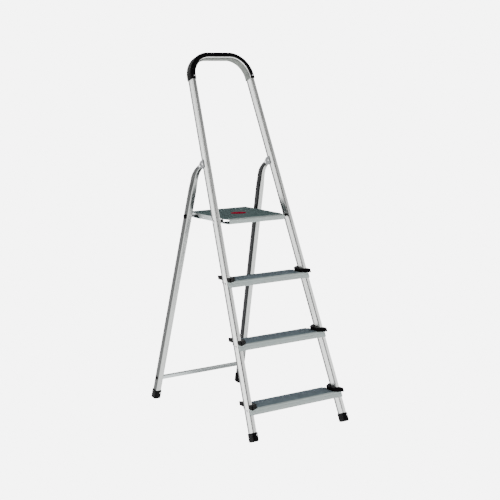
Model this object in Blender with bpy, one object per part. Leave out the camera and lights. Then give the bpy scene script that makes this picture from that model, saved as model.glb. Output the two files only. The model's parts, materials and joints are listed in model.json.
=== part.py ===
"""Folding platform step ladder, built as separate pieces around two fold joints.

Frame: +X to the right when facing the treads, +Y towards the rear legs, +Z up,
floor at Z = 0, origin in the middle of the footprint. All sizes in metres.
"""
import math

import bmesh
import bpy
from mathutils import Matrix, Vector

# ---- clearances -------------------------------------------------------------
GAP = 0.0003            # between pieces that touch
RUNNING = 0.00008       # radial, a pin in the hole that turns on it
DRILL = 0.0004          # radial, a rivet or screw in its hole

# ---- front frame ------------------------------------------------------------
FRONT_LEAN = math.radians(22.3)
FRONT_HALF = 0.2203     # stile centre line to the middle plane, at the floor
FRONT_TAPER = 0.0552    # inward run of a stile per metre along it
STILE_W, STILE_D, STILE_R, TUBE_WALL = 0.019, 0.036, 0.005, 0.0015
HOOP_TOP = 1.5277       # centre line of the hand hoop, measured along the frame
HOOP_BEND = 0.090
GRIP_END = 1.4297       # where the grip stops on each side, along the frame
GRIP_T = 0.0028

# ---- rear frame -------------------------------------------------------------
REAR_LEAN = math.radians(13.05)
REAR_HALF = 0.2142      # leg centre line to the middle plane, at the floor
REAR_SPREAD = 0.7090    # front stile line to rear leg line, at the floor
LEG_W, LEG_D, LEG_R = 0.0245, 0.029, 0.005
HINGE_W = 0.0317        # hinge axis behind the middle of the stile
HINGE_Z = 0.995         # hinge axis above the floor
LEG_BEND_R = 0.085
LEG_BEND = math.radians(46.0)
CRIMP_HALF_W, CRIMP_HALF_D = 0.0092, 0.0080
LEG_END = 0.0075        # leg material beyond the hinge axis
BRACE_Z, BRACE_H, BRACE_D, BRACE_WALL = 0.0905, 0.017, 0.011, 0.0015

# ---- treads -----------------------------------------------------------------
FIRST_TREAD, TREAD_RISE, TREADS = 0.123, 0.225, 3
TREAD_REAR = 0.060      # rear edge behind the stile centre line
TREAD_H, TREAD_T = 0.022, 0.0022
FASCIA_T = 0.003
RIB_PITCH, RIB_W, RIB_H = 0.0055, 0.0030, 0.0009
FLANGE_T = 0.0025
CAP_H, CAP_WALL, CAP_FRONT, CAP_REAR = 0.014, 0.0150, 0.040, 0.043
SCREW_DROP, SCREW_R = 0.0115, 0.0024

# ---- platform ---------------------------------------------------------------
DECK_TOP, DECK_H = 0.799, 0.021
DECK_HALF, LIP_HALF = 0.1408, 0.133
DECK_FRONT, DECK_REAR = 0.0364, 0.2410   # ahead of and behind the stile line
DECK_WALL = 0.0030
DECK_RIB_PITCH = 0.0075
PLATE_T = 0.003
PLATE_RISE = 0.0015     # the plate's lower edge above the eye's, clear of the folding pins
LABEL_W, LABEL_D = 0.068, 0.046
PIVOT_BACK = 0.008      # pivot behind the stile centre line
PIVOT_R, BUSH_WALL = 0.0032, 0.0020
REST_R = 0.004

# ---- small parts ------------------------------------------------------------
HINGE_R = 0.004
BRACKET_T, BRACKET_H, BRACKET_NOSE = 0.002, 0.032, 0.0078
FOOT_WALL, FOOT_RIM, FOOT_SOLE = 0.0027, 0.0382, 0.0035
FOOT_CUT = 0.0045       # the square end of a foot is cut off this far up by the floor
FOOT_RIVET_R = 0.0012

# ---- derived ----------------------------------------------------------------
FRONT_SLOPE, REAR_SLOPE = math.tan(FRONT_LEAN), math.tan(REAR_LEAN)
FRONT_COS, REAR_COS = math.cos(FRONT_LEAN), math.cos(REAR_LEAN)
FRONT_SIN, REAR_SIN = math.sin(FRONT_LEAN), math.sin(REAR_LEAN)
FOOT_EDGE = ((0.0, 0.0045), (0.0010, 0.0024), (0.0026, 0.0009), (0.0050, 0.0))


def foot_low(depth, cos, sin):
    """Where a foot's square end starts, along its tube from the floor point."""
    return ((depth / 2 + FOOT_WALL + GAP) * sin - FOOT_CUT) / cos


def tube_low(depth, cos, sin):
    """Where a tube ends above its foot's sole, along it from the floor point."""
    return (depth / 2 * sin + FOOT_SOLE) / cos


def foot_reach(depth, cos, sin, forward):
    """How far a foot reaches from its floor point; forward is 1 when it leans away."""
    half, low = depth / 2 + FOOT_WALL + GAP, foot_low(depth, cos, sin)
    return max((half - inset) * cos - forward * (low + rise) * sin
               for rise, inset in FOOT_EDGE + ((FOOT_RIM - low, 0.0),))


# the footprint is centred on the origin
FRONT_Y = (foot_reach(STILE_D, FRONT_COS, FRONT_SIN, 1)
           - foot_reach(LEG_D, REAR_COS, REAR_SIN, 1) - REAR_SPREAD) / 2
REAR_Y = FRONT_Y + REAR_SPREAD
HINGE_Y = FRONT_Y + FRONT_SLOPE * HINGE_Z + HINGE_W / FRONT_COS
HINGE_V = (HINGE_Y - FRONT_Y) * FRONT_SIN + HINGE_Z * FRONT_COS
# along the leg, and from its centre line forward, to the hinge axis
LEG_S = (REAR_Y - HINGE_Y) * REAR_SIN + HINGE_Z * REAR_COS
LEG_OFFSET = (REAR_Y - HINGE_Y) * REAR_COS - HINGE_Z * REAR_SIN
PIVOT_Z = DECK_TOP - DECK_H / 2
PIVOT_Y = FRONT_Y + FRONT_SLOPE * PIVOT_Z + PIVOT_BACK
REST_Z = PIVOT_Z - 0.0025
REST_Y = REAR_Y - REAR_SLOPE * REST_Z
DECK_LINE = FRONT_Y + FRONT_SLOPE * DECK_TOP

ALUMINIUM = ((0.78, 0.79, 0.78), 0.32, 1.0)
BARE = ((0.62, 0.65, 0.66), 0.38, 1.0)
STEEL = ((0.60, 0.60, 0.61), 0.28, 1.0)
DARK_TREAD = ((0.17, 0.20, 0.22), 0.50, 0.8)
DARK_DECK = ((0.13, 0.17, 0.17), 0.50, 0.8)
BLACK = ((0.012, 0.012, 0.013), 0.42, 0.0)
BLACK_METAL = ((0.03, 0.032, 0.034), 0.35, 0.6)
LIGHT_GREY = ((0.45, 0.47, 0.45), 0.45, 0.0)
WHITE = ((0.82, 0.83, 0.82), 0.35, 0.6)
RED = ((0.45, 0.03, 0.06), 0.40, 0.0)


def stile_x(z, back=0.0):
    """Stile centre line at a height, and at a distance behind its middle plane."""
    return frame_x(z / FRONT_COS + back * FRONT_SIN)


def frame_x(v):
    """Stile centre line at a distance along the front frame."""
    return FRONT_HALF - FRONT_TAPER * v


LEG_TAPER = (REAR_HALF - frame_x(HINGE_V)) / LEG_S


def leg_x(s):
    """Leg centre line at a distance along the rear frame."""
    return REAR_HALF - LEG_TAPER * s


# ---- scene helpers ----------------------------------------------------------
def clear_scene():
    """Remove whatever the scene holds."""
    for obj in list(bpy.data.objects):
        bpy.data.objects.remove(obj, do_unlink=True)


def axis_empty(name, location, tilt=0.0):
    """An empty that carries one body, on its joint's axis."""
    empty = bpy.data.objects.new(name, None)
    empty.empty_display_size = 0.05
    empty.location = location
    empty.rotation_euler = (tilt, 0.0, 0.0)
    bpy.context.scene.collection.objects.link(empty)
    return empty


def material(name, finish):
    """A Principled material of one colour."""
    colour, rough, metal = finish
    mat = bpy.data.materials.new(name)
    mat.use_nodes = True
    shader = mat.node_tree.nodes["Principled BSDF"]
    shader.inputs["Base Color"].default_value = (*colour, 1.0)
    shader.inputs["Roughness"].default_value = rough
    shader.inputs["Metallic"].default_value = metal
    mat.diffuse_color = (*colour, 1.0)
    return mat


def add_object(name, bm, parent=None, finish=None, location=(0, 0, 0)):
    """Turn a bmesh into a named object with its own material."""
    bmesh.ops.recalc_face_normals(bm, faces=bm.faces[:])
    mesh = bpy.data.meshes.new(name)
    bm.to_mesh(mesh)
    bm.free()
    obj = bpy.data.objects.new(name, mesh)
    obj.location = location
    obj.parent = parent
    bpy.context.scene.collection.objects.link(obj)
    if finish:
        mesh.materials.append(material(name, finish))
    return obj


def round_off(obj, angle=35.0):
    """Smooth shading, sharp where the faces turn more than the angle."""
    obj.data.shade_smooth()
    obj.data.set_sharp_from_angle(angle=math.radians(angle))


def combine(obj, tools, operation):
    """Boolean the tools into the object and bake the result."""
    for tool in tools:
        tool.hide_render = True
        tool.display_type = "WIRE"
        mod = obj.modifiers.new(operation.lower(), "BOOLEAN")
        mod.operation, mod.solver, mod.object = operation, "EXACT", tool
    bpy.context.view_layer.update()
    graph = bpy.context.evaluated_depsgraph_get()
    mesh = bpy.data.meshes.new_from_object(obj.evaluated_get(graph))
    obj.modifiers.clear()
    obj.data = mesh
    for tool in tools:
        bpy.data.objects.remove(tool, do_unlink=True)


def cut(obj, tools):
    """Subtract the tools."""
    combine(obj, tools, "DIFFERENCE")


def join(obj, tools):
    """Add the tools."""
    combine(obj, tools, "UNION")


# ---- shape helpers ----------------------------------------------------------
def rounded_rect(half_a, half_b, radius, steps=3):
    """Outline of a rectangle with round corners, as (a, b) points."""
    points = []
    for quarter, (sa, sb) in enumerate(((1, 1), (-1, 1), (-1, -1), (1, -1))):
        for i in range(steps + 1):
            turn = math.pi / 2 * (quarter + i / steps)
            points.append((sa * (half_a - radius) + radius * math.cos(turn),
                           sb * (half_b - radius) + radius * math.sin(turn)))
    return points


def loft(rings, inner=None):
    """Skin rings of equal length; with inner rings the skin is a hollow tube."""
    bm = bmesh.new()
    outer = [[bm.verts.new(p) for p in ring] for ring in rings]
    skins = [outer]
    if inner:
        skins.append([[bm.verts.new(p) for p in ring] for ring in inner])
    count = len(rings[0])
    for skin in skins:
        for low, high in zip(skin, skin[1:]):
            for i in range(count):
                j = (i + 1) % count
                bm.faces.new((low[i], low[j], high[j], high[i]))
    for end in (0, -1):
        if inner:
            a, b = skins[0][end], skins[1][end]
            for i in range(count):
                j = (i + 1) % count
                bm.faces.new((a[i], a[j], b[j], b[i]))
        else:
            bm.faces.new(outer[end])
    return bm


def prism(outline, low, high):
    """Extrude an outline between two placements of it."""
    return loft([[low(*p) for p in outline], [high(*p) for p in outline]])


def along_x(outline, x0, x1):
    """Extrude a (y, z) outline along X."""
    return prism(outline, lambda y, z: Vector((x0, y, z)), lambda y, z: Vector((x1, y, z)))


def box(low, high):
    """A box between two corners."""
    outline = [(low[1], low[2]), (high[1], low[2]), (high[1], high[2]), (low[1], high[2])]
    return along_x(outline, low[0], high[0])


def sheared(outline, side, z0, z1):
    """Extrude a plan outline along a stile; x is outwards from its centre line."""
    def place(z):
        return lambda x, y: Vector((side * (stile_x(z, y) + x), FRONT_Y + FRONT_SLOPE * z + y, z))
    return prism(outline, place(z0), place(z1))


def turned(profile, centre, axis, steps=16):
    """Turn a (radius, distance) profile about an axis through the centre."""
    spin = Vector(axis).to_track_quat("Z", "X").to_matrix()
    centre = Vector(centre)
    bm = bmesh.new()
    rings = []
    for radius, height in profile:
        if radius == 0.0:
            rings.append([bm.verts.new(centre + spin @ Vector((0, 0, height)))])
            continue
        rings.append([bm.verts.new(centre + spin @ Vector((
            radius * math.cos(2 * math.pi * i / steps),
            radius * math.sin(2 * math.pi * i / steps), height))) for i in range(steps)])
    closed = profile[0][0] > 0.0 and profile[-1][0] > 0.0
    pairs = list(zip(rings, rings[1:])) + ([(rings[-1], rings[0])] if closed else [])
    for a, b in pairs:
        for i in range(steps):
            j = (i + 1) % steps
            if len(a) == 1:
                bm.faces.new((a[0], b[i], b[j]))
            elif len(b) == 1:
                bm.faces.new((a[i], b[0], a[j]))
            else:
                bm.faces.new((a[i], a[j], b[j], b[i]))
    return bm


def drill(name, centre, axis, radius, length, parent=None, steps=16):
    """A cylinder to cut a hole with, centred on the point."""
    profile = [(0.0, -length / 2), (radius, -length / 2), (radius, length / 2), (0.0, length / 2)]
    return add_object(name, turned(profile, centre, axis, steps), parent)


def rivet_profile(radius, length, head_r, head_h, tail_r=0.0, tail_h=0.0):
    """Dome head at distance 0, shank running to -length, optional tail head."""
    profile = [(0.0, head_h), (head_r * 0.55, head_h * 0.85), (head_r * 0.9, head_h * 0.45),
               (head_r, 0.0), (radius, 0.0), (radius, -length)]
    if tail_r:
        profile += [(tail_r, -length), (tail_r * 0.8, -length - tail_h)]
        return profile + [(0.0, -length - tail_h)]
    return profile + [(0.0, -length)]


def sweep(path, keep, outline_at):
    """Rings of an outline carried along a path; its first axis stays on keep."""
    rings = []
    keep = Vector(keep)
    for i, point in enumerate(path):
        ahead = path[min(i + 1, len(path) - 1)] - point
        behind = point - path[max(i - 1, 0)]
        tangent = (ahead.normalized() + behind.normalized()).normalized()
        first = (keep - tangent * keep.dot(tangent)).normalized()
        second = tangent.cross(first)
        rings.append([point + first * a + second * b for a, b in outline_at(i)])
    return rings


# ---- front frame ------------------------------------------------------------
def hoop_path(start, steps=9):
    """Centre line of the bent tube, up one side, across and down the other."""
    lean = math.atan(FRONT_TAPER)
    turn = math.pi / 2 - lean
    run = HOOP_BEND * math.tan(turn / 2)
    corner = Vector((-frame_x(HOOP_TOP), 0.0, HOOP_TOP))
    up = Vector((math.sin(lean), 0.0, math.cos(lean)))
    inward = Vector((math.cos(lean), 0.0, -math.sin(lean)))
    centre = corner - up * run + inward * HOOP_BEND
    side = [Vector((-frame_x(start), 0.0, start))]
    for i in range(steps + 1):
        angle = turn * i / steps
        side.append(centre + HOOP_BEND * (up * math.sin(angle) - inward * math.cos(angle)))
    return side + [Vector((-p.x, p.y, p.z)) for p in reversed(side)]


def make_front_tube(frame):
    """The stiles and the hand hoop, one bent tube."""
    path = hoop_path(tube_low(STILE_D, FRONT_COS, FRONT_SIN))
    outer = rounded_rect(STILE_D / 2, STILE_W / 2, STILE_R)
    inner = rounded_rect(STILE_D / 2 - TUBE_WALL, STILE_W / 2 - TUBE_WALL, STILE_R - TUBE_WALL)
    bm = loft(sweep(path, (0, 1, 0), lambda i: outer), sweep(path, (0, 1, 0), lambda i: inner))
    tube = add_object("front_tube", bm, frame, ALUMINIUM)
    tools = []
    for side in (-1, 1):
        for k in range(TREADS):
            tools.append(drill("bore", tread_screw_point(k, side), (1, 0, 0),
                               SCREW_R + DRILL, STILE_W * 2))
        tools.append(drill("bore", (side * stile_x(PIVOT_Z), PIVOT_Y, PIVOT_Z), (1, 0, 0),
                           PIVOT_R + DRILL, STILE_W * 2))
        tools.append(drill("bore", (side * frame_x(HINGE_V), bracket_rivet_w(), HINGE_V),
                           (1, 0, 0), SCREW_R + DRILL, STILE_W * 2, frame))
        tools.append(drill("bore", foot_rivet_point(side, "front"), (0, 1, 0),
                           FOOT_RIVET_R + DRILL, STILE_D, frame))
        tools.append(drill("bore", grip_screw_point(side), (0, 1, 0),
                           FOOT_RIVET_R + DRILL, STILE_D, frame))
    cut(tube, tools)
    round_off(tube)


def shell_outline(points, corners, offset):
    """Open line beside the tube: straight ends joined by offset corner arcs."""
    line = [points[0]]
    for (a, b), start in corners:
        for i in range(5):
            turn = math.radians(start - 90.0 * i / 4)
            line.append((a + (STILE_R + offset) * math.cos(turn),
                         b + (STILE_R + offset) * math.sin(turn)))
    return line + [points[1]]


def grip_shell(frame, name, start, end, corners, finish):
    """A strip of constant thickness that follows the hoop outside the tube."""
    def ends(offset):
        return [(start[0] * (STILE_D / 2 + offset) if abs(start[0]) == 1 else start[0],
                 start[1] * (STILE_W / 2 + offset) if abs(start[1]) == 1 else start[1]),
                (end[0] * (STILE_D / 2 + offset) if abs(end[0]) == 1 else end[0],
                 end[1] * (STILE_W / 2 + offset) if abs(end[1]) == 1 else end[1])]
    near = shell_outline(ends(GAP), corners, GAP)
    far = shell_outline(ends(GAP + GRIP_T), corners, GAP + GRIP_T)
    outline = near + far[::-1]
    shell = add_object(name, loft(sweep(hoop_path(GRIP_END), (0, 1, 0), lambda i: outline)),
                       frame, finish)
    cut(shell, [drill("bore", grip_screw_point(side), (0, 1, 0), FOOT_RIVET_R + DRILL,
                      STILE_D * 2, frame) for side in (-1, 1)])
    round_off(shell)


def make_grip(frame):
    """The dark cover on the front and outside, the light liner behind and inside."""
    a, b = STILE_D / 2 - STILE_R, STILE_W / 2 - STILE_R
    # the outline's first axis points to the back and its second to the outside of the hoop
    grip_shell(frame, "grip_cover", (-1, -0.0058), (0.007, 1), [((-a, b), 180.0)], BLACK)
    grip_shell(frame, "grip_liner", (0.011, 1), (-0.0125, -1),
               [((a, b), 90.0), ((a, -b), 0.0)], LIGHT_GREY)


def grip_screw_point(side):
    """Where a small screw holds the end of the grip, on the tube's centre line."""
    v = GRIP_END + 0.012
    return (side * (frame_x(v) + 0.0004), 0.0, v)


def make_grip_screws(frame):
    """Small screws that hold the cover's ends to the tube's front."""
    for side, tag in ((-1, "left"), (1, "right")):
        x, _, v = grip_screw_point(side)
        face = -(STILE_D / 2 + GAP + GRIP_T) - 0.0001
        bm = turned(rivet_profile(FOOT_RIVET_R, 0.006, 0.0027, 0.0012), (x, face, v), (0, -1, 0), 12)
        round_off(add_object(f"grip_screw_{tag}", bm, frame, STEEL))


# ---- treads -----------------------------------------------------------------
def tread_top(k):
    """Height of a tread's top face."""
    return FIRST_TREAD + TREAD_RISE * k


def tread_screw_point(k, side):
    """Where a tread's screw crosses the stile's centre line, in world axes."""
    z = tread_top(k) - SCREW_DROP
    return (side * stile_x(z), FRONT_Y + FRONT_SLOPE * z, z)


def ribbed(start, end, pitch, top):
    """Top line of a ribbed face from start to end, as (y, z) points."""
    count = int((end - start) / pitch)
    first = start + ((end - start) - (count - 1) * pitch - RIB_W) / 2
    points = [(start, top), (start, top - RIB_H)]
    for i in range(count):
        y = first + i * pitch
        points += [(y, top - RIB_H), (y, top), (y + RIB_W, top), (y + RIB_W, top - RIB_H)]
    return points + [(end, top - RIB_H), (end, top)]


def screw_port(y, z, radius, wall):
    """An open-bottomed round port under a plate, as a run of (y, z) points."""
    half, low, slit = radius + wall, z - radius - wall, 0.001
    turn = math.asin(slit / radius)
    arc = [(y + radius * math.sin(a), z - radius * math.cos(a))
           for a in (turn + (2 * math.pi - 2 * turn) * i / 10 for i in range(11))]
    return [(y + half, None), (y + half, low), (y + slit, low)] + arc + [(y - slit, low),
            (y - half, low), (y - half, None)]


def tread_outline():
    """Section of a tread, relative to the stile centre line at its top face."""
    front = -(STILE_D / 2 + GAP * 2 + FASCIA_T) / FRONT_COS
    inner = front + FASCIA_T / FRONT_COS
    under = -TREAD_T - RIB_H
    rear = TREAD_REAR
    points = [(front - FRONT_SLOPE * TREAD_H, -TREAD_H),
              (front - FRONT_SLOPE * 0.0016, -0.0016), (front + 0.0018, 0.0)]
    points += ribbed(front + 0.009, rear - 0.006, RIB_PITCH, 0.0)
    points += [(rear - 0.0015, 0.0), (rear, -0.0015), (rear, -TREAD_H), (rear - TREAD_T, -TREAD_H),
               (rear - TREAD_T, under)]
    port = screw_port(-FRONT_SLOPE * SCREW_DROP, -SCREW_DROP, SCREW_R + DRILL, 0.0028)
    points += [(y, under if z is None else z) for y, z in port]
    points += [(inner + FRONT_SLOPE * under, under), (inner - FRONT_SLOPE * TREAD_H, -TREAD_H)]
    return points


def make_tread(k):
    """One extruded tread, notched behind its nose for the stiles and the legs."""
    top = tread_top(k)
    half = stile_x(top) + STILE_W / 2
    tread = add_object(f"tread_{k + 1}", along_x(tread_outline(), -half, half), None, DARK_TREAD,
                       (0, FRONT_Y + FRONT_SLOPE * top, top))
    end = -STILE_W / 2 - FLANGE_T - GAP * 3
    relief = end - 0.008
    ahead = -(STILE_D / 2 + GAP * 2) / FRONT_COS - 0.0001
    behind = (HINGE_W + LEG_OFFSET - LEG_D / 2 - 0.006) / FRONT_COS
    outline = [(end, ahead), (0.1, ahead), (0.1, 0.2), (relief, 0.2), (relief, behind),
               (end, behind)]
    cut(tread, [add_object("notch", sheared(outline, side, top - 0.03, top + 0.02))
                for side in (-1, 1)])
    round_off(tread, 25.0)


def make_end_cap(k, side, tag):
    """Moulded end piece that wraps the stile and points forward and back."""
    top = tread_top(k)
    w, d = STILE_W / 2 + GAP, (STILE_D / 2 + GAP) / FRONT_COS
    wall = w + CAP_WALL
    reach = CAP_FRONT - d
    back = CAP_REAR - d
    plan = [(-w, -d), (-w, d), (w, d), (w, d + back), (w - 0.005, d + back + 0.001),
            (-w, d + 0.6 * back), (-wall, d + 0.0035), (-wall, -d - 0.0035),
            (-w, -d - 0.6 * reach), (w - 0.005, -d - reach - 0.001), (w, -d - reach), (w, -d)]
    low, high = top + GAP, top + CAP_H
    rings = []
    for z, inset in ((low, 0.0), (high - 0.002, 0.0), (high, 0.0012)):
        ring = []
        for x, y in plan:
            if abs(y) > d + 1e-6:
                x, y = x + inset * (x < -w - 1e-6), y - math.copysign(inset, y)
            ring.append(Vector((side * (stile_x(z, y) + x), FRONT_Y + FRONT_SLOPE * z + y, z)))
        rings.append(ring)
    cap = add_object(f"tread_{k + 1}_cap_{tag}", loft(rings), None, BLACK)
    near, far = -w - FLANGE_T, -w - 0.0001
    flange = [(near, -d + 0.003), (far, -d + 0.003), (far, d + 0.004), (near, d + 0.004)]
    join(cap, [add_object("flange", sheared(flange, side, top - TREAD_H, top + 0.005))])
    cut(cap, [drill("bore", tread_screw_point(k, side), (1, 0, 0), SCREW_R + DRILL, STILE_W * 3)])
    round_off(cap)


def make_tread_screw(k, side, tag):
    """Screw from the stile's outside into the tread's port."""
    x, y, z = tread_screw_point(k, side)
    length = STILE_W + FLANGE_T + 0.016
    bm = turned(rivet_profile(SCREW_R, length, 0.0055, 0.0022),
                (x + side * (STILE_W / 2 + 0.0006), y, z), (side, 0, 0), 12)
    round_off(add_object(f"tread_{k + 1}_screw_{tag}", bm, None, STEEL))


# ---- hinge between the frames -----------------------------------------------
def bracket_rivet_w():
    """Depth of the bracket's rivet in the stile."""
    return STILE_D / 4


def make_hinge_bracket(frame, side, tag):
    """Clip on the back of a stile with two ears for the leg's hinge pin."""
    x = frame_x(HINGE_V)
    inside = STILE_W / 2 + GAP
    start, tall = 0.002, BRACKET_H / 2
    ear = [(start, -tall), (STILE_D / 2 + 0.003, -tall)]
    for i in range(9):
        turn = math.radians(-70 + 140 * i / 8)
        ear.append((HINGE_W + BRACKET_NOSE * math.cos(turn), BRACKET_NOSE * math.sin(turn)))
    ear += [(STILE_D / 2 + 0.003, tall), (start, tall)]

    def slab(near, far):
        def place(u):
            return lambda w, v: Vector((side * (x + u - FRONT_TAPER * v), w, HINGE_V + v))
        return prism(ear, place(near), place(far))

    bracket = add_object(f"hinge_bracket_{tag}", slab(inside, inside + BRACKET_T), frame, BLACK_METAL)
    back = STILE_D / 2 + GAP
    web = prism([(-inside - 0.001, back), (inside + 0.001, back),
                 (inside + 0.001, back + 0.0015), (-inside - 0.001, back + 0.0015)],
                lambda u, w: Vector((side * (x + u + FRONT_TAPER * tall), w, HINGE_V - tall)),
                lambda u, w: Vector((side * (x + u - FRONT_TAPER * tall), w, HINGE_V + tall)))
    join(bracket, [add_object("ear", slab(-inside - BRACKET_T, -inside), frame),
                   add_object("web", web, frame)])
    cut(bracket, [
        drill("bore", (side * x, HINGE_W, HINGE_V), (1, 0, 0), HINGE_R + DRILL, STILE_W * 3, frame, 24),
        drill("bore", (side * x, bracket_rivet_w(), HINGE_V), (1, 0, 0), SCREW_R + DRILL,
              STILE_W * 3, frame)])
    round_off(bracket)


def make_bracket_rivet(frame, side, tag):
    """Rivet through the bracket's ears and the stile."""
    reach = STILE_W / 2 + GAP + BRACKET_T + 0.0006
    bm = turned(rivet_profile(SCREW_R, 2 * reach, 0.005, 0.0018, 0.004, 0.0012),
                (side * (frame_x(HINGE_V) + reach), bracket_rivet_w(), HINGE_V), (side, 0, 0), 12)
    round_off(add_object(f"bracket_rivet_{tag}", bm, frame, STEEL))


def make_hinge_pin(frame, side, tag):
    """Headed pin the rear leg turns on."""
    reach = STILE_W / 2 + GAP + BRACKET_T + 0.0005
    bm = turned(rivet_profile(HINGE_R, 2 * reach, 0.0065, 0.0022, 0.0058, 0.0015),
                (side * (frame_x(HINGE_V) + reach), HINGE_W, HINGE_V), (side, 0, 0), 24)
    round_off(add_object(f"hinge_pin_{tag}", bm, frame, STEEL))


# ---- feet -------------------------------------------------------------------
def foot_rivet_point(side, which):
    """A foot's rivet on its leg's centre plane, in that frame's own axes."""
    at = FOOT_RIM - 0.0095
    if which == "front":
        return (side * frame_x(at) + 0.0040, 0.0, at)
    return (side * leg_x(at) + 0.0060, LEG_OFFSET, at - LEG_S)


def make_foot(name, frame, place, width, depth, radius, low, tube_end, rivet):
    """Moulded foot, square to its tube, with a pocket for it and a flat on the floor."""
    half_w, half_d, round_r = (v + FOOT_WALL + GAP for v in (width / 2, depth / 2, radius))
    steps = [(low + rise, inset) for rise, inset in FOOT_EDGE]
    steps += [(FOOT_RIM - 0.0008, 0.0), (FOOT_RIM, 0.0006)]
    rings = [[place(at, a, b) for a, b in
              rounded_rect(half_w - inset, half_d - inset, round_r - inset * 0.5)]
             for at, inset in steps]
    foot = add_object(name, loft(rings), frame, BLACK)
    inside = rounded_rect(width / 2 + GAP, depth / 2 + GAP, radius + GAP)
    pocket = loft([[place(at, a, b) for a, b in inside] 
                   for at in (tube_end - GAP - width / 2 * FRONT_TAPER, FOOT_RIM + 0.02)])
    hole = drill("bore", rivet, (0, 1, 0), FOOT_RIVET_R + DRILL, depth * 0.9 + 0.01, frame)
    hole.location = (0, -depth / 2, 0)
    ground = add_object("ground", box((-0.4, -0.6, -0.05), (0.4, 0.6, 0.0)))
    cut(foot, [add_object("pocket", pocket, frame), hole, ground])
    round_off(foot)


def make_front_foot(frame, side, tag):
    """Foot on a stile."""
    make_foot(f"front_foot_{tag}", frame, lambda v, a, b: Vector((side * frame_x(v) + a, b, v)),
              STILE_W, STILE_D, STILE_R, foot_low(STILE_D, FRONT_COS, FRONT_SIN),
              tube_low(STILE_D, FRONT_COS, FRONT_SIN), foot_rivet_point(side, "front"))


def make_rear_foot(frame, side, tag):
    """Foot on a rear leg."""
    make_foot(f"rear_foot_{tag}", frame,
              lambda s, a, b: Vector((side * leg_x(s) + a, LEG_OFFSET + b, s - LEG_S)),
              LEG_W, LEG_D, LEG_R, foot_low(LEG_D, REAR_COS, REAR_SIN),
              tube_low(LEG_D, REAR_COS, REAR_SIN), foot_rivet_point(side, "rear"))


def make_foot_rivets(front, rear):
    """Bright rivets through the front wall of each foot."""
    for side, tag in ((-1, "left"), (1, "right")):
        for frame, which, depth in ((front, "front", STILE_D), (rear, "rear", LEG_D)):
            x, y, z = foot_rivet_point(side, which)
            face = y - depth / 2 - GAP - FOOT_WALL - 0.0002
            bm = turned(rivet_profile(FOOT_RIVET_R, 0.0055, 0.0024, 0.0010), (x, face, z),
                        (0, -1, 0), 12)
            round_off(add_object(f"{which}_foot_rivet_{tag}", bm, frame, WHITE))


# ---- rear frame -------------------------------------------------------------
def smooth_step(t):
    """Ease from 0 to 1."""
    t = min(max(t, 0.0), 1.0)
    return t * t * (3 - 2 * t)


def leg_path(side, steps=9):
    """Centre line of a leg, from its foot to just past the hinge axis."""
    straight = (LEG_OFFSET - LEG_BEND_R * (1 - math.cos(LEG_BEND))) / math.sin(LEG_BEND)
    start = -LEG_BEND_R * math.sin(LEG_BEND) - straight * math.cos(LEG_BEND)
    points = [(LEG_OFFSET, tube_low(LEG_D, REAR_COS, REAR_SIN) - LEG_S), (LEG_OFFSET, start - 0.055),
              (LEG_OFFSET, start - 0.040), (LEG_OFFSET, start - 0.025), (LEG_OFFSET, start - 0.012)]
    for i in range(steps + 1):
        turn = LEG_BEND * i / steps
        points.append((LEG_OFFSET - LEG_BEND_R * (1 - math.cos(turn)),
                       start + LEG_BEND_R * math.sin(turn)))
    for reach in (-0.4 * straight, LEG_END):
        points.append((-reach * math.sin(LEG_BEND), reach * math.cos(LEG_BEND)))
    return [Vector((side * leg_x(z + LEG_S), y, z)) for y, z in points], start


def make_rear_leg(frame, side, tag):
    """Leg tube, bent forward and crimped at its top to fit the bracket."""
    path, start = leg_path(side)

    def outline_at(wall):
        def outline(i):
            squeeze = smooth_step((path[i].z - start + 0.055) / 0.060)
            half_w = LEG_W / 2 + (CRIMP_HALF_W - LEG_W / 2) * squeeze
            thin = smooth_step((path[i].z - start) / -start)
            half_d = LEG_D / 2 + (CRIMP_HALF_D - LEG_D / 2) * thin
            return rounded_rect(half_w - wall, half_d - wall, LEG_R - 0.0015 * squeeze - wall)
        return outline

    bm = loft(sweep(path, (1, 0, 0), outline_at(0.0)), sweep(path, (1, 0, 0), outline_at(TUBE_WALL)))
    leg = add_object(f"rear_leg_{tag}", bm, frame, ALUMINIUM)
    x, y, z = brace_plug_point(side)
    cut(leg, [
        drill("bore", (side * leg_x(LEG_S), 0, 0), (1, 0, 0), HINGE_R + RUNNING, LEG_W * 2, frame, 24),
        drill("bore", rest_point(side), (1, 0, 0), REST_R + DRILL, LEG_W * 2, frame),
        drill("bore", (x, y, z), (1, 0, 0), brace_plug_r() + DRILL, LEG_W * 2, frame),
        drill_front(frame, side)])
    round_off(leg)


def drill_front(frame, side):
    """The hole for a rear foot's rivet, in the leg's front wall only."""
    tool = drill("bore", foot_rivet_point(side, "rear"), (0, 1, 0), FOOT_RIVET_R + DRILL,
                 LEG_D * 0.8, frame)
    tool.location = (0, -LEG_D / 2, 0)
    return tool


def rest_point(side):
    """The platform's rest pin on the leg's centre line, in the rear frame's axes."""
    s = REST_Z / REAR_COS
    return (side * leg_x(s), LEG_OFFSET, s - LEG_S)


def brace_plug_point(side):
    """The brace's plug on the leg's centre line, in the rear frame's axes."""
    s = BRACE_Z / REAR_COS
    return (side * leg_x(s), LEG_OFFSET, s - LEG_S)


def brace_plug_r():
    """Radius of the plug's shank, which fits inside the brace."""
    return BRACE_D / 2 - BRACE_WALL - GAP


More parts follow.
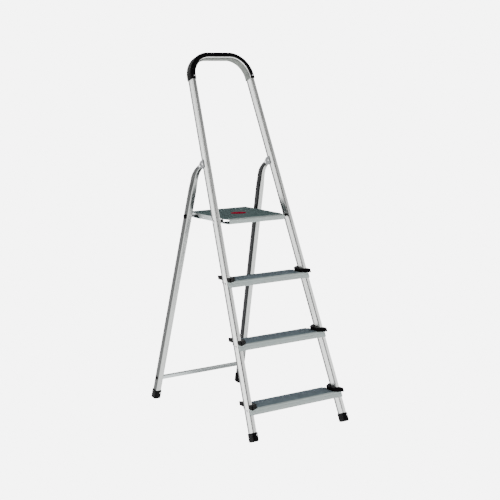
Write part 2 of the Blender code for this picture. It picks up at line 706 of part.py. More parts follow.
def make_brace(frame):
    """Hollow bar between the rear legs."""
    x, y, z = brace_plug_point(1)
    end = x - LEG_W / 2 - GAP * 2 - LEG_TAPER * BRACE_H / 2
    outer = rounded_rect(BRACE_D / 2, BRACE_H / 2, 0.0025)
    inner = rounded_rect(BRACE_D / 2 - BRACE_WALL, BRACE_H / 2 - BRACE_WALL, 0.001)

    def ring(outline, at):
        return [Vector((at, y + a, z + b)) for a, b in outline]

    bm = loft([ring(outer, -end), ring(outer, end)], [ring(inner, -end), ring(inner, end)])
    round_off(add_object("rear_brace", bm, frame, BARE))
    for side, tag in ((-1, "left"), (1, "right")):
        head = LEG_W / 2 + 0.0008
        bm = turned(rivet_profile(brace_plug_r(), head + LEG_W / 2 + 0.012, 0.0065, 0.0035),
                    (side * (x + head), y, z), (side, 0, 0))
        round_off(add_object(f"brace_plug_{tag}", bm, frame, BLACK))


def make_rest_pins(frame):
    """Pins in the legs that the platform's side plates hook over, with caps."""
    inner_end = DECK_HALF + GAP * 2
    for side, tag in ((-1, "left"), (1, "right")):
        x, y, z = rest_point(side)
        face = abs(x) + LEG_W / 2 + 0.0008
        bm = turned(rivet_profile(REST_R, face - inner_end, 0.0062, 0.0016),
                    (side * face, y, z), (side, 0, 0))
        round_off(add_object(f"platform_rest_pin_{tag}", bm, frame, STEEL))
        cup = [(0.0, 0.0052), (0.0062, 0.0046), (0.0086, 0.0030), (0.0092, 0.0),
               (0.0062 + GAP, 0.0), (0.0062 + GAP, 0.0016 + GAP), (0.0, 0.0016 + GAP)]
        bm = turned(cup, (side * (face + 0.0002), y, z), (side, 0, 0))
        round_off(add_object(f"rest_pin_cap_{tag}", bm, frame, BLACK))


# ---- platform ---------------------------------------------------------------
def deck_screw_places():
    """Deck screw positions as (y, z) from the pivot."""
    mid = DECK_LINE - PIVOT_Y
    return [(mid + 0.070, 0.0015), (mid + 0.130, 0.0015)]


def make_deck(axis):
    """Extruded platform: hollow front and rear, open channel between."""
    front, rear = DECK_LINE - DECK_FRONT - PIVOT_Y, DECK_LINE + DECK_REAR - PIVOT_Y
    top, low = DECK_TOP - PIVOT_Z, DECK_TOP - DECK_H - PIVOT_Z
    under = top - RIB_H - DECK_WALL
    channel = (0.0245, rear - 0.084)
    nose = [(front + 0.004, low), (front + 0.001, low + 0.003), (front, low + 0.008),
            (front, top - 0.008), (front + 0.0012, top - 0.003), (front + 0.004, top)]
    outline = nose + ribbed(front + 0.012, rear - 0.005, DECK_RIB_PITCH, top)
    outline += [(rear - 0.0015, top), (rear, top - 0.0015), (rear, low + 0.0015),
                (rear - 0.0015, low), (channel[1], low), (channel[1], under)]
    for y, z in reversed(deck_screw_places()):
        half = 0.0045
        outline += [(y + half, under), (y + half, z - half), (y - half, z - half), (y - half, under)]
    outline += [(channel[0], under), (channel[0], low)]
    deck = add_object("platform_deck", along_x(outline, -DECK_HALF, DECK_HALF), axis, DARK_DECK)
    tools = []
    for y0, y1 in ((front + DECK_WALL, channel[0] - DECK_WALL), (channel[1] + DECK_WALL, rear - DECK_WALL)):
        tools.append(add_object("chamber", box((-0.2, y0, low + DECK_WALL),
                                               (0.2, y1, under)), axis))
    for y, z in deck_screw_places():
        tools.append(drill("port", (0, y, z), (1, 0, 0), 0.0018 + DRILL, DECK_HALF * 2.2, axis))
    back = -0.002
    for side in (-1, 1):
        corner = [(side * LIP_HALF, front - 0.01), (side * 0.2, front - 0.01), (side * 0.2, back),
                  (side * (DECK_HALF + 0.0005), back), (side * LIP_HALF, front + 0.006)]
        tools.append(add_object("corner", prism(corner, lambda x, y: Vector((x, y, low - 0.01)),
                                                lambda x, y: Vector((x, y, top + 0.01))), axis))
    cut(deck, tools)
    round_off(deck, 25.0)


def make_label(axis):
    """Plain oval plate in the middle of the deck."""
    centre_y = DECK_LINE + 0.093 - PIVOT_Y
    top = DECK_TOP - PIVOT_Z + 0.0002
    outline = [(LABEL_W / 2 * math.cos(math.pi * i / 16),
                centre_y + LABEL_D / 2 * math.sin(math.pi * i / 16)) for i in range(32)]
    bm = prism(outline, lambda x, y: Vector((x, y, top)), lambda x, y: Vector((x, y, top + 0.0008)))
    round_off(add_object("deck_label", bm, axis, RED))


def plate_outline():
    """Side plate's outline from the pivot: eye in front, hook over the pin behind."""
    half = DECK_H / 2 - 0.0006
    low = -(half - PLATE_RISE)
    pin_y, pin_z = REST_Y - PIVOT_Y, REST_Z - PIVOT_Z
    seat = pin_z + REST_R + GAP
    stop = pin_y + REST_R + GAP
    eye = [(half * math.sin(a), -half * math.cos(a)) for a in
           (-math.pi * i / 8 for i in range(9))]
    return (eye[::-1] + [(0.016, low), (pin_y - 0.045, low), (pin_y - 0.030, seat), (stop, seat),
                         (stop, low), (stop + 0.011, low), (stop + 0.013, low + 0.002),
                         (stop + 0.013, half - 0.003), (stop + 0.010, half)])


def make_side_plate(axis, side, tag):
    """Plate on the platform's end that carries the pivot and the hook."""
    x0, x1 = DECK_HALF + GAP, DECK_HALF + GAP + PLATE_T
    outline = plate_outline()
    bm = along_x(outline, side * x0, side * x1)
    plate = add_object(f"platform_side_plate_{tag}", bm, axis, BARE)
    tools = [drill("bore", (side * x0, 0, 0), (1, 0, 0), PIVOT_R + RUNNING, 0.03, axis, 24)]
    for y, z in deck_screw_places():
        tools.append(drill("bore", (side * x0, y, z), (1, 0, 0), 0.0018 + DRILL, 0.03, axis, 12))
    cut(plate, tools)
    round_off(plate)
    for i, (y, z) in enumerate(deck_screw_places()):
        bm = turned(rivet_profile(0.0018, PLATE_T + 0.011, 0.0036, 0.0014),
                    (side * (x1 + 0.0001), y, z), (side, 0, 0), 12)
        round_off(add_object(f"side_plate_screw_{tag}_{i + 1}", bm, axis, STEEL))


def make_platform_pivot(side, tag):
    """Rivet the platform turns on, and the bush that spaces it from the stile."""
    centre = stile_x(PIVOT_Z)
    face = centre + STILE_W / 2 + 0.0007
    inner = DECK_HALF - 0.0014
    bm = turned(rivet_profile(PIVOT_R, face - inner, 0.0062, 0.0022, 0.0050, 0.0015),
                (side * face, PIVOT_Y, PIVOT_Z), (side, 0, 0), 24)
    round_off(add_object(f"platform_pivot_{tag}", bm, None, STEEL))
    near = DECK_HALF + GAP + PLATE_T + GAP
    far = centre - STILE_W / 2 - GAP - 0.0006
    bore, skin = PIVOT_R + RUNNING, PIVOT_R + RUNNING + BUSH_WALL
    bm = turned([(bore, near), (skin, near), (skin, far), (bore, far)],
                (0, PIVOT_Y, PIVOT_Z), (side, 0, 0), 24)
    round_off(add_object(f"platform_bush_{tag}", bm, None, BLACK))


def main():
    """Build the ladder, open and standing."""
    clear_scene()
    front = axis_empty("front_frame_plane", (0, FRONT_Y, 0), -FRONT_LEAN)
    rear = axis_empty("rear_fold_axis", (0, HINGE_Y, HINGE_Z), REAR_LEAN)
    axis = axis_empty("platform_fold_axis", (0, PIVOT_Y, PIVOT_Z))
    bpy.context.view_layer.update()
    make_front_tube(front)
    make_grip(front)
    make_grip_screws(front)
    for k in range(TREADS):
        make_tread(k)
    for side, tag in ((-1, "left"), (1, "right")):
        for k in range(TREADS):
            make_end_cap(k, side, tag)
            make_tread_screw(k, side, tag)
        make_hinge_bracket(front, side, tag)
        make_bracket_rivet(front, side, tag)
        make_hinge_pin(front, side, tag)
        make_front_foot(front, side, tag)
        make_rear_leg(rear, side, tag)
        make_rear_foot(rear, side, tag)
        make_side_plate(axis, side, tag)
        make_platform_pivot(side, tag)
    make_foot_rivets(front, rear)
    make_brace(rear)
    make_rest_pins(rear)
    make_deck(axis)
    make_label(axis)
    bpy.context.view_layer.update()


main()
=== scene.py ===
"""Looks of the folding platform step ladder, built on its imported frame.

Each sub-assembly is a class that builds its detailed pieces as parametric
surfaces and dresses the CAD nodes it keeps. Everything is in metres, in the
frame's own axes: +X right, +Y to the rear legs, +Z up, floor at Z = 0.
"""
from __future__ import annotations

import json
import logging
import math
from dataclasses import dataclass, field, replace
from enum import Enum
from typing import Iterable, Union

import bpy
import numpy as np
from mathutils import Matrix, Vector


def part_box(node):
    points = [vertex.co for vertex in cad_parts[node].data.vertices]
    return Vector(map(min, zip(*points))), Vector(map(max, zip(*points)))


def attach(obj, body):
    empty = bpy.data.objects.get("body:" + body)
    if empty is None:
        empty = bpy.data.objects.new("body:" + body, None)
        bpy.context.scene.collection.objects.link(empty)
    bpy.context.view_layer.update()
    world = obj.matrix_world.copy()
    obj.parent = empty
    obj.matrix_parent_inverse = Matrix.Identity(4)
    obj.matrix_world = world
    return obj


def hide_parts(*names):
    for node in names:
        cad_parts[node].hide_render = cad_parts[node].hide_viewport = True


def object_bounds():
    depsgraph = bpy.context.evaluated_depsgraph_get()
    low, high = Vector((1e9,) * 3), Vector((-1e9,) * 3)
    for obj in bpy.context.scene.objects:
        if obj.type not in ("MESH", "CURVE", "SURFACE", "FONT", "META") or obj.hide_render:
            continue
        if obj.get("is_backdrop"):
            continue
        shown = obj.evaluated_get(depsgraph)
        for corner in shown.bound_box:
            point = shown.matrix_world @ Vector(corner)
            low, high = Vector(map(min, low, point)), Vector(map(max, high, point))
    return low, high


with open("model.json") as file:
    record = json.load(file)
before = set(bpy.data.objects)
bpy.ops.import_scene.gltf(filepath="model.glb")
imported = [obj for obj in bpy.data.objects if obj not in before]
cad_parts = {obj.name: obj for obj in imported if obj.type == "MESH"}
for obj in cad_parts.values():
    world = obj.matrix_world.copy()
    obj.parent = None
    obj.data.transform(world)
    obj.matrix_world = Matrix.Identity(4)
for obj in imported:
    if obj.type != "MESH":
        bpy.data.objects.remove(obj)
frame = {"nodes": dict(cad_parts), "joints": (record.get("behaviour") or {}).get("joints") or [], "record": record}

Array = np.ndarray
Colour = tuple[float, float, float]
LOG = logging.getLogger("ladder")
SHADE = "shade"
ALONG_X, ALONG_Y, ALONG_Z = np.eye(3)
PAPER_WHITE: Colour = (1.0, 1.0, 1.0)


class Body(str, Enum):
    """Bodies of the frame that pieces ride on."""

    FRONT = "front_frame"
    REAR = "rear_frame"
    PLATFORM = "platform"


class Slot(str, Enum):
    """Material slots of the record."""

    ALUMINIUM = "aluminium"
    TREAD = "tread"
    DECK = "deck"
    BARE = "bare"
    STEEL = "steel"
    BLACK = "black"
    BRACKET = "bracket"
    LINER = "liner"
    WHITE = "white"
    RED = "red"


# ---- shading ------------------------------------------------------------------
class Signal:
    """A shader value that can be used in ordinary arithmetic."""

    def __init__(self, graph: Graph, socket: bpy.types.NodeSocket) -> None:
        """Wrap an output socket of the graph."""
        self.graph = graph
        self.socket = socket

    def op(self, name: str, other: Value = 0.0, swap: bool = False) -> Signal:
        """Combine with another value.

        Args:
            name: operation of the Math node.
            other: second value.
            swap: take the second value first.

        Returns:
            The combined value.
        """
        pair = (other, self) if swap else (self, other)
        return self.graph.node("ShaderNodeMath", {0: pair[0], 1: pair[1]}, operation=name)

    def __add__(self, other: Value) -> Signal:
        """Sum."""
        return self.op("ADD", other)

    def __radd__(self, other: Value) -> Signal:
        """Reflected sum."""
        return self.op("ADD", other, True)

    def __sub__(self, other: Value) -> Signal:
        """Difference."""
        return self.op("SUBTRACT", other)

    def __rsub__(self, other: Value) -> Signal:
        """Reflected difference."""
        return self.op("SUBTRACT", other, True)

    def __mul__(self, other: Value) -> Signal:
        """Product."""
        return self.op("MULTIPLY", other)

    def __rmul__(self, other: Value) -> Signal:
        """Reflected product."""
        return self.op("MULTIPLY", other, True)

    def __truediv__(self, other: Value) -> Signal:
        """Quotient."""
        return self.op("DIVIDE", other)

    def __rtruediv__(self, other: Value) -> Signal:
        """Reflected quotient."""
        return self.op("DIVIDE", other, True)

    def band(self, low: float, high: float) -> Signal:
        """Smooth step.

        Args:
            low: value where the result is 0.
            high: value where the result is 1.

        Returns:
            The step, between 0 and 1.
        """
        return self.graph.node(
            "ShaderNodeMapRange", {0: self, 1: low, 2: high, 3: 0.0, 4: 1.0},
            interpolation_type="SMOOTHSTEP")


Value = Union[Signal, float]


class Graph:
    """The node graph of one Principled material."""

    def __init__(self, name: str) -> None:
        """Start an empty material with its shader."""
        self.material = bpy.data.materials.new(name)
        self.material.use_nodes = True
        self.tree = self.material.node_tree
        self.shader = self.tree.nodes["Principled BSDF"]
        coords = self.tree.nodes.new("ShaderNodeTexCoord")
        self.point = Signal(self, coords.outputs["Object"])

    @classmethod
    def of_world(cls, world: bpy.types.World) -> Graph:
        """The graph of a world, where the point is the direction looked in."""
        g = cls.__new__(cls)
        g.material, g.tree = world, world.node_tree
        g.shader = g.tree.nodes["Background"]
        g.point = Signal(g, g.tree.nodes.new("ShaderNodeTexCoord").outputs["Generated"])
        return g

    def feed(self, socket: bpy.types.NodeSocket, value: object) -> None:
        """Link a signal to a socket, or set a constant on it."""
        if isinstance(value, Signal):
            self.tree.links.new(value.socket, socket)
        else:
            socket.default_value = value

    def node(self, kind: str, inputs: dict[object, object], output: object = 0,
             **settings: object) -> Signal:
        """Add any other node.

        Args:
            kind: Blender's node type.
            inputs: values or signals by socket name or number.
            output: name or number of the socket to return.
            **settings: properties of the node.

        Returns:
            The chosen output.
        """
        made = self.tree.nodes.new(kind)
        for key, value in settings.items():
            setattr(made, key, value)
        for key, value in inputs.items():
            self.feed(made.inputs[key], value)
        return Signal(self, made.outputs[output])

    def along(self, axis: Array) -> Signal:
        """Position along a direction.

        Args:
            axis: unit vector in the frame's axes.

        Returns:
            Distance along it, in metres.
        """
        return self.node("ShaderNodeVectorMath", {0: self.point, 1: tuple(map(float, axis))},
                         "Value", operation="DOT_PRODUCT")

    def vector(self, x: Value, y: Value, z: Value) -> Signal:
        """Three values as one vector."""
        return self.node("ShaderNodeCombineXYZ", {0: x, 1: y, 2: z})

    def noise(self, at: Signal, scale: float, detail: float = 3.0, rough: float = 0.55) -> Signal:
        """Fractal noise at a point, about 0.5."""
        return self.node("ShaderNodeTexNoise",
                         {"Vector": at, "Scale": scale, "Detail": detail, "Roughness": rough})

    def mix(self, factor: Value, first: object, second: object) -> Signal:
        """Blend two colours.

        Args:
            factor: 0 for the first, 1 for the second.
            first: colour or signal.
            second: colour or signal.

        Returns:
            The blended colour.
        """
        pair = [(*c, 1.0) if isinstance(c, tuple) else c for c in (first, second)]
        return self.node("ShaderNodeMix", {0: factor, 6: pair[0], 7: pair[1]}, 2, data_type="RGBA")

    def bump(self, height: Signal, distance: float, strength: float = 1.0) -> Signal:
        """A normal from a height in units of the distance."""
        return self.node("ShaderNodeBump",
                         {"Height": height, "Distance": distance, "Strength": strength})

    def finish(self, **inputs: object) -> bpy.types.Material:
        """Set the shader's inputs and return what it belongs to.

        Args:
            **inputs: values by the input's name, with underscores for spaces.

        Returns:
            The finished material.
        """
        for key, value in inputs.items():
            if isinstance(value, tuple):
                value = (*value, 1.0)
            self.feed(self.shader.inputs[key.replace("_", " ")], value)
        return self.material


@dataclass(frozen=True)
class Finish:
    """Common part of every finish."""

    name: str
    colour: Colour

    def material(self) -> bpy.types.Material:
        """The finish as a material."""
        raise NotImplementedError


@dataclass(frozen=True)
class DrawnMetal(Finish):
    """Satin extruded metal with fine streaks along its length."""

    axis: tuple[float, float, float] = (0.0, 0.0, 1.0)
    roughness: float = 0.30
    streak: float = 0.05
    shade: str = ""
    shaded: Colour = (0.006, 0.0065, 0.007)
    fine_scale: float = 2600.0
    broad_scale: float = 240.0
    patch_scale: float = 9.0
    stretch: float = 0.02
    grain: float = 0.00004

    def material(self) -> bpy.types.Material:
        """Build the streaks from noise stretched along the axis."""
        g = Graph(self.name)
        axis = np.array(self.axis) / np.linalg.norm(self.axis)
        side = ALONG_X if abs(axis[0]) < 0.9 else ALONG_Y
        side = side - axis * (axis @ side)
        side /= np.linalg.norm(side)
        across = np.cross(axis, side)
        at = g.vector(g.along(side), g.along(across), g.along(axis) * self.stretch)
        fine = g.noise(at, self.fine_scale, 4.0)
        broad = g.noise(at, self.broad_scale, 2.0)
        patches = g.noise(g.point, self.patch_scale, 3.0)
        tone = (fine - 0.5) * self.streak + (broad - 0.5) * self.streak * 1.4 + \
               (patches - 0.5) * self.streak
        dark = tuple(c * 0.55 for c in self.colour)
        colour = g.mix((0.12 - tone).op("MAXIMUM", 0.0), self.colour, dark)
        rough = self.roughness + tone * 1.5 + (patches - 0.5) * 0.10
        # Painted shade and painted dark reflection: where the shade attribute is set, the colour is blended
        # towards the near-black shaded colour.
        if self.shade:
            mask = g.node("ShaderNodeAttribute", {}, "Fac", attribute_name=self.shade)
            colour = g.mix(mask, colour, self.shaded)
        return g.finish(Base_Color=colour, Roughness=rough, Metallic=1.0,
                        Normal=g.bump(fine, self.grain, 0.35))


@dataclass(frozen=True)
class TwoToneAlloy(Finish):
    """Ribbed alloy: a light face in front of a slanted line, a dark worn top behind it."""

    light: Colour = (0.36, 0.41, 0.40)
    slope: float = 0.0
    edge: float = 0.0
    worn: float = 0.25
    metallic: float = 0.10
    shine: float = 0.0
    streak_scale: float = 1400.0
    scuff_scale: float = 38.0
    stretch: float = 0.03
    blur: float = 0.0008
    grain: float = 0.00005

    def material(self) -> bpy.types.Material:
        """Split the tones by the distance behind the slanted line."""
        g = Graph(self.name)
        behind = g.along(ALONG_Y) - g.along(ALONG_Z) * self.slope - self.edge
        at = g.vector(g.along(ALONG_X) * self.stretch, g.along(ALONG_Y), g.along(ALONG_Z))
        streaks = g.noise(at, self.streak_scale, 3.0)
        scuffs = g.noise(g.point, self.scuff_scale, 5.0, 0.65)
        wear = scuffs.band(0.50, 0.78) * self.worn
        top = g.mix(wear + (streaks - 0.5) * 0.25, self.colour,
                    tuple(c * 2.2 for c in self.colour))
        front = g.mix((streaks - 0.35).op("MAXIMUM", 0.0), self.light,
                      tuple(c * 0.75 for c in self.light))
        return g.finish(Base_Color=g.mix(behind.band(-self.blur, self.blur), front, top),
                        Roughness=0.52 + (scuffs - 0.5) * 0.22, Metallic=self.metallic,
                        Specular_IOR_Level=self.shine,
                        Normal=g.bump(streaks, self.grain, 0.4))


@dataclass(frozen=True)
class MouldedPlastic(Finish):
    """Moulded plastic with a fine grain and slightly scuffed gloss."""

    roughness: float = 0.42
    grain: float = 0.00012
    shine: float = 0.06
    grain_scale: float = 1500.0
    scuff_scale: float = 60.0

    def material(self) -> bpy.types.Material:
        """Build the grain from fine noise."""
        g = Graph(self.name)
        grain = g.noise(g.point, self.grain_scale, 2.0)
        scuffs = g.noise(g.point, self.scuff_scale, 4.0, 0.6)
        colour = g.mix(scuffs.band(0.45, 0.8) * 0.35, self.colour,
                       tuple(min(1.0, c * 1.6 + 0.002) for c in self.colour))
        return g.finish(Base_Color=colour, Roughness=self.roughness + (scuffs - 0.5) * 0.2,
                        Specular_IOR_Level=self.shine,
                        Normal=g.bump(grain, self.grain, 0.5))


@dataclass(frozen=True)
class PlatedSteel(Finish):
    """Zinc-plated steel with a cloudy passivated sheen."""

    roughness: float = 0.25
    cloud_scale: float = 240.0
    grain_scale: float = 2200.0
    grain: float = 0.00003

    def material(self) -> bpy.types.Material:
        """Build the clouding from two noises."""
        g = Graph(self.name)
        cloud = g.noise(g.point, self.cloud_scale, 4.0, 0.6)
        fine = g.noise(g.point, self.grain_scale, 2.0)
        colour = g.mix((cloud - 0.35).op("MAXIMUM", 0.0), self.colour,
                       tuple(c * 0.6 for c in self.colour))
        return g.finish(Base_Color=colour, Roughness=self.roughness + (cloud - 0.5) * 0.25,
                        Metallic=1.0, Normal=g.bump(fine, self.grain, 0.4))


# ---- surfaces -------------------------------------------------------------------
class Surface:
    """Meshes made from grids of points."""

    @staticmethod
    def quads(rows: int, columns: int, wrap_rows: bool, wrap_columns: bool) -> Array:
        """Corner numbers of a grid's quads.

        Args:
            rows: number of rings.
            columns: points in a ring.
            wrap_rows: join the last ring to the first.
            wrap_columns: join the last column to the first.

        Returns:
            One row of four numbers per quad.
        """
        i, j = np.meshgrid(np.arange(rows if wrap_rows else rows - 1),
                           np.arange(columns if wrap_columns else columns - 1), indexing="ij")
        k, m = (i + 1) % rows, (j + 1) % columns
        grid = np.stack([i * columns + j, i * columns + m, k * columns + m, k * columns + j], -1)
        return grid.reshape(-1, 4)

    @staticmethod
    def make(name: str, points: Array, faces: list[tuple[int, ...]], sharp: float = 40.0
             ) -> bpy.types.Object:
        """Make a closed smooth-shaded object with its normals outwards.

        Args:
            name: object's name.
            points: corners, one per row.
            faces: corner numbers of each face.
            sharp: edges that turn more than this many degrees stay sharp.

        Returns:
            The new object, at the origin.
        """
        mesh = bpy.data.meshes.new(name)
        mesh.from_pydata(points.reshape(-1, 3).tolist(), [], faces)
        mesh.update()
        corners = points.reshape(-1, 3)
        volume = sum(float(np.dot(corners[f[0]], np.cross(corners[f[i]], corners[f[i + 1]])))
                     for f in faces for i in range(1, len(f) - 1))
        if volume < 0.0:
            mesh.flip_normals()
        mesh.shade_smooth()
        mesh.set_sharp_from_angle(angle=math.radians(sharp))
        made = bpy.data.objects.new(name, mesh)
        bpy.context.scene.collection.objects.link(made)
        return made

    @staticmethod
    def tone(piece: bpy.types.Object, values: Array) -> None:
        """Write how much painted shade and painted dark reflection each point gets, from 0 to 1."""
        made = piece.data.attributes.new(SHADE, "FLOAT", "POINT")
        made.data.foreach_set("value", np.asarray(values, np.float32).ravel())

    @classmethod
    def closed(cls, name: str, rings: Array, sharp: float = 40.0) -> bpy.types.Object:
        """A surface closed both ways, such as a hollow tube: outside up, inside down."""
        rows, columns = rings.shape[:2]
        return cls.make(name, rings, cls.quads(rows, columns, True, True).tolist(), sharp)

    @classmethod
    def capped(cls, name: str, rings: Array, sharp: float = 40.0) -> bpy.types.Object:
        """A skin round a row of rings, closed by the first and last ring's own faces."""
        rows, columns = rings.shape[:2]
        faces = cls.quads(rows, columns, False, True).tolist()
        faces.append(list(range(columns))[::-1])
        faces.append(list(range((rows - 1) * columns, rows * columns)))
        return cls.make(name, rings, faces, sharp)


def rounded_section(half_a: float, half_b: float, radius: float, steps: int = 8) -> Array:
    """Outline of a rectangle with round corners.

    Each corner is a quarter circle of the given radius about the point one
    radius in from both sides, taken at equal angles.

    Args:
        half_a: half width.
        half_b: half depth.
        radius: corner radius.
        steps: segments in each corner.

    Returns:
        Points (a, b), one per row.
    """
    turn = (np.arange(4)[:, None] * 90.0 + np.linspace(0.0, 90.0, steps + 1)) * math.pi / 180.0
    signs = np.array([(1, 1), (-1, 1), (-1, -1), (1, -1)], float)[:, None, :]
    centre = signs * np.array((half_a - radius, half_b - radius))
    return (centre + radius * np.stack([np.cos(turn), np.sin(turn)], -1)).reshape(-1, 2)


def divided(outline: Array, parts: int = 8, longest: float = 0.006) -> Array:
    """An outline with each of its long sides cut into equal parts."""
    step = np.linspace(0.0, 1.0, parts, endpoint=False)[:, None]
    pairs = zip(outline, np.roll(outline, -1, axis=0))
    return np.vstack([a + (b - a) * step if np.linalg.norm(b - a) > longest else a[None]
                      for a, b in pairs])


def sweep(path: Array, keep: Array, outlines: Array) -> Array:
    """Carry outlines along a path.

    At each point of the path, the outline's first axis is the kept direction
    less its part along the tangent, and its second is the tangent crossed
    with the first.

    Args:
        path: points, one per row.
        keep: direction that the first axis stays close to.
        outlines: one outline, or one for each point.

    Returns:
        Rings, as (path point, outline point, 3).
    """
    steps = np.diff(path, axis=0)
    steps /= np.linalg.norm(steps, axis=1, keepdims=True)
    tangent = np.vstack([steps[:1], steps[1:] + steps[:-1], steps[-1:]])
    tangent /= np.linalg.norm(tangent, axis=1, keepdims=True)
    first = keep - tangent * (tangent @ keep)[:, None]
    first /= np.linalg.norm(first, axis=1, keepdims=True)
    second = np.cross(tangent, first)
    outlines = np.broadcast_to(outlines, (len(path), *outlines.shape[-2:]))
    return (path[:, None, :] + first[:, None, :] * outlines[..., :1]
            + second[:, None, :] * outlines[..., 1:])


def strip(name: str, outer: Array, inner: Array, half: Array, sharp: float = 32.0
          ) -> bpy.types.Object:
    """A bent plate of varying width.

    At each station the section is a rectangle from the outer line to the
    inner line, and from minus to plus half the width along X.

    Args:
        name: object's name.
        outer: outside line as (y, z), one per station.
        inner: inside line as (y, z).
        half: half width at each station.
        sharp: edges that turn more than this many degrees stay sharp.

    Returns:
        The plate.
    """
    def corner(sign: float, line: Array) -> Array:
        """One corner of the section at every station."""
        return np.column_stack([sign * half, line])

    rings = np.stack([corner(-1, outer), corner(1, outer), corner(1, inner), corner(-1, inner)], 1)
    return Surface.capped(name, rings, sharp)


def doubled(line: Array, at: int) -> Array:
    """A line with one of its points repeated, for a step in the width there."""
    return np.insert(line, at, line[at], 0)


def ramp(distance: Array, start: float, width: float) -> Array:
    """0 up to the start, then a straight rise to 1 over the width."""
    return np.clip((distance - start) / width, 0.0, 1.0)


def smooth(share: Array) -> Array:
    """A share from 0 to 1, eased at both ends as three squares less two cubes."""
    return share * share * (3 - 2 * share)


def arc(centre: tuple[float, float], radius: float, start: float, end: float, steps: int
        ) -> Array:
    """Points of a circular arc, by equal angles in degrees."""
    turn = np.radians(np.linspace(start, end, steps + 1))
    return np.array(centre) + radius * np.column_stack([np.cos(turn), np.sin(turn)])


def ribs(start: float, end: float, pitch: float, height: float) -> Array:
    """Top line of a ribbed face at height 0.

    The height below the top is a clipped cosine of the position, so each rib
    has a flat crest, round shoulders and a flat valley.

    Args:
        start: first position.
        end: last position.
        pitch: distance between ribs.
        height: depth of the valleys.

    Returns:
        Points (y, z), one per row.
    """
    samples, flatness = 14, 1.9
    count = max(1, int((end - start) / pitch))
    y = np.linspace(start, end, count * samples + 1)
    wave = np.cos(2.0 * math.pi * (y - start) / ((end - start) / count))
    return np.column_stack([y, -height * (0.5 - 0.5 * np.clip(wave * flatness, -1.0, 1.0))])


# ---- shared sizes ---------------------------------------------------------------
@dataclass(frozen=True)
class Incline:
    """The slanted plane of the front frame."""

    lean: float = math.radians(22.3)
    half: float = 0.2203
    taper: float = 0.0552
    width: float = 0.019
    depth: float = 0.036
    corner: float = 0.005
    wall: float = 0.0015
    pivot_behind: float = 0.008

    @property
    def floor_y(self) -> float:
        """Where the stile's centre line meets the floor, from the fold axis of the platform."""
        pivot = joint("platform_fold")["pos_m"]
        return pivot[1] - self.pivot_behind - math.tan(self.lean) * pivot[2]

    def world(self, local: Array) -> Array:
        """Turn (across, behind, along) in the plane into the frame's axes."""
        cos, sin = math.cos(self.lean), math.sin(self.lean)
        x, w, v = np.moveaxis(local, -1, 0)
        return np.stack([x, self.floor_y + w * cos + v * sin, v * cos - w * sin], -1)

    def x_at(self, height: float) -> float:
        """Stile's centre at a height."""
        return self.half - self.taper * height / math.cos(self.lean)


def joint(name: str) -> dict:
    """A joint of the frame by its name."""
    return next(j for j in frame["joints"] if j["name"] == name)


@dataclass
class Assembly:
    """A group of pieces that ride on one body."""

    body: Body = Body.FRONT
    finishes: dict[Slot, bpy.types.Material] = field(default_factory=dict)

    def place(self, piece: bpy.types.Object, slot: Slot, nodes: Iterable[str],
              material: bpy.types.Material | None = None) -> None:
        """Hand a finished piece to the frame.

        Args:
            piece: the new object.
            slot: record's slot it takes its finish from.
            nodes: CAD nodes it stands for.
            material: finish, if not the slot's own.
        """
        piece.data.materials.clear()
        piece.data.materials.append(material or self.finishes[slot])
        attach(piece, self.body.value)
        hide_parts(*nodes)
        LOG.info("%s: %d faces on %s", piece.name, len(piece.data.polygons), self.body.value)

    def dress(self) -> None:
        """Give each CAD node that stays the finish of its slot."""
        slots = {s["node"]: Slot(s["material_slot"]) for s in frame["record"]["subparts"]}
        for name in frame["record"]["behaviour"]["bodies"][self.body.value]:
            node = frame["nodes"][name]
            node.data.materials.clear()
            node.data.materials.append(self.finishes[slots[name]])
            LOG.info("%s: kept, finish %s", name, slots[name].value)


